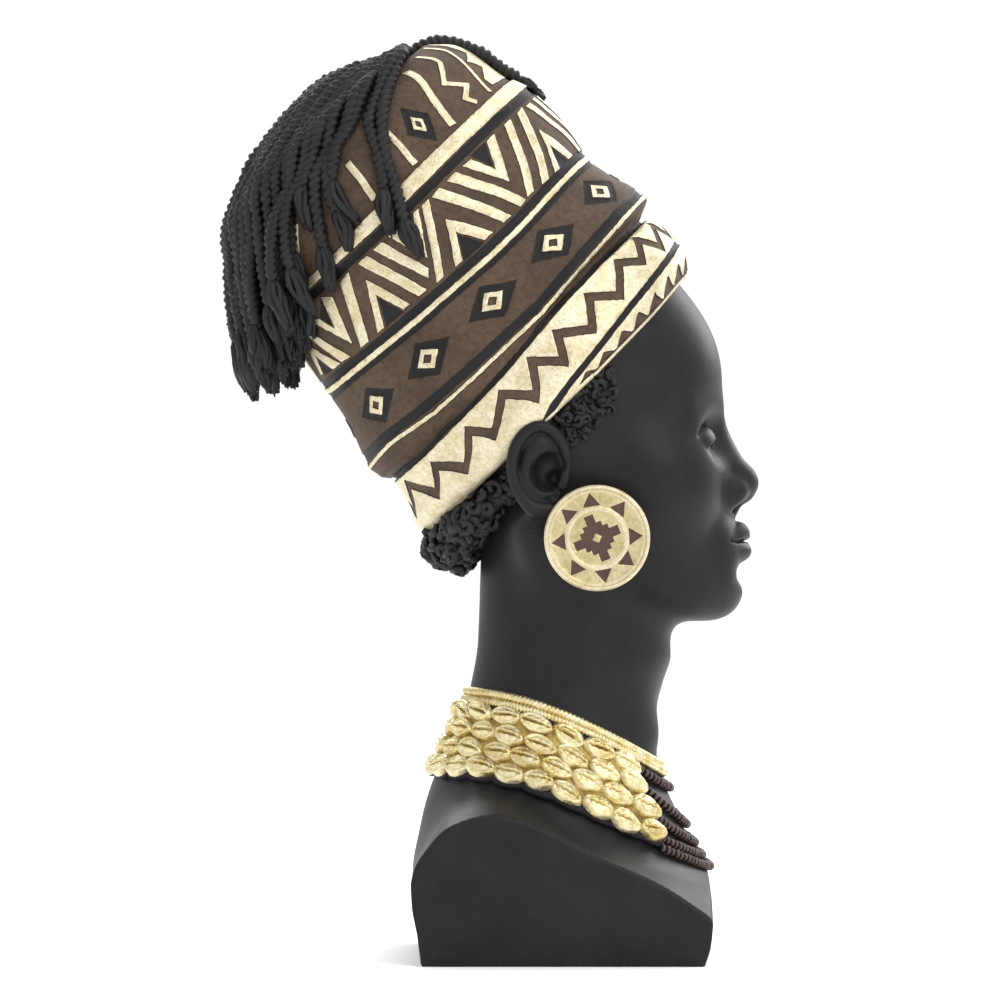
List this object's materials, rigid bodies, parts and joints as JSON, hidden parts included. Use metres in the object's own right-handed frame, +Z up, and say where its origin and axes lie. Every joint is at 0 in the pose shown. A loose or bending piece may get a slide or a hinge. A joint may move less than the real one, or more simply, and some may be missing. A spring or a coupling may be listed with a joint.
{
  "type": "woman figurine",
  "caption": "Decorative bust of a woman with a tall patterned headwrap, braids, disc earrings, a shell collar and bead strings, on a flat-cut chest block.",
  "frame": {"origin": "centre of the flat underside of the chest block", "axes": "+X the way she faces, +Y to her left, +Z up"},
  "size_m": [0.2326, 0.164, 0.401],
  "materials": {
    "resin_black": "satin black painted resin",
    "hair_black": "matt black painted resin",
    "wrap_brown": "matt brown paint with gold leaf and black lines",
    "gold": "satin gold leaf",
    "bead_brown": "satin dark brown paint"
  },
  "bodies": {
    "root": {"figure": "resin_black", "earring_right": "gold", "earring_left": "gold"}
  },
  "joints": []
}
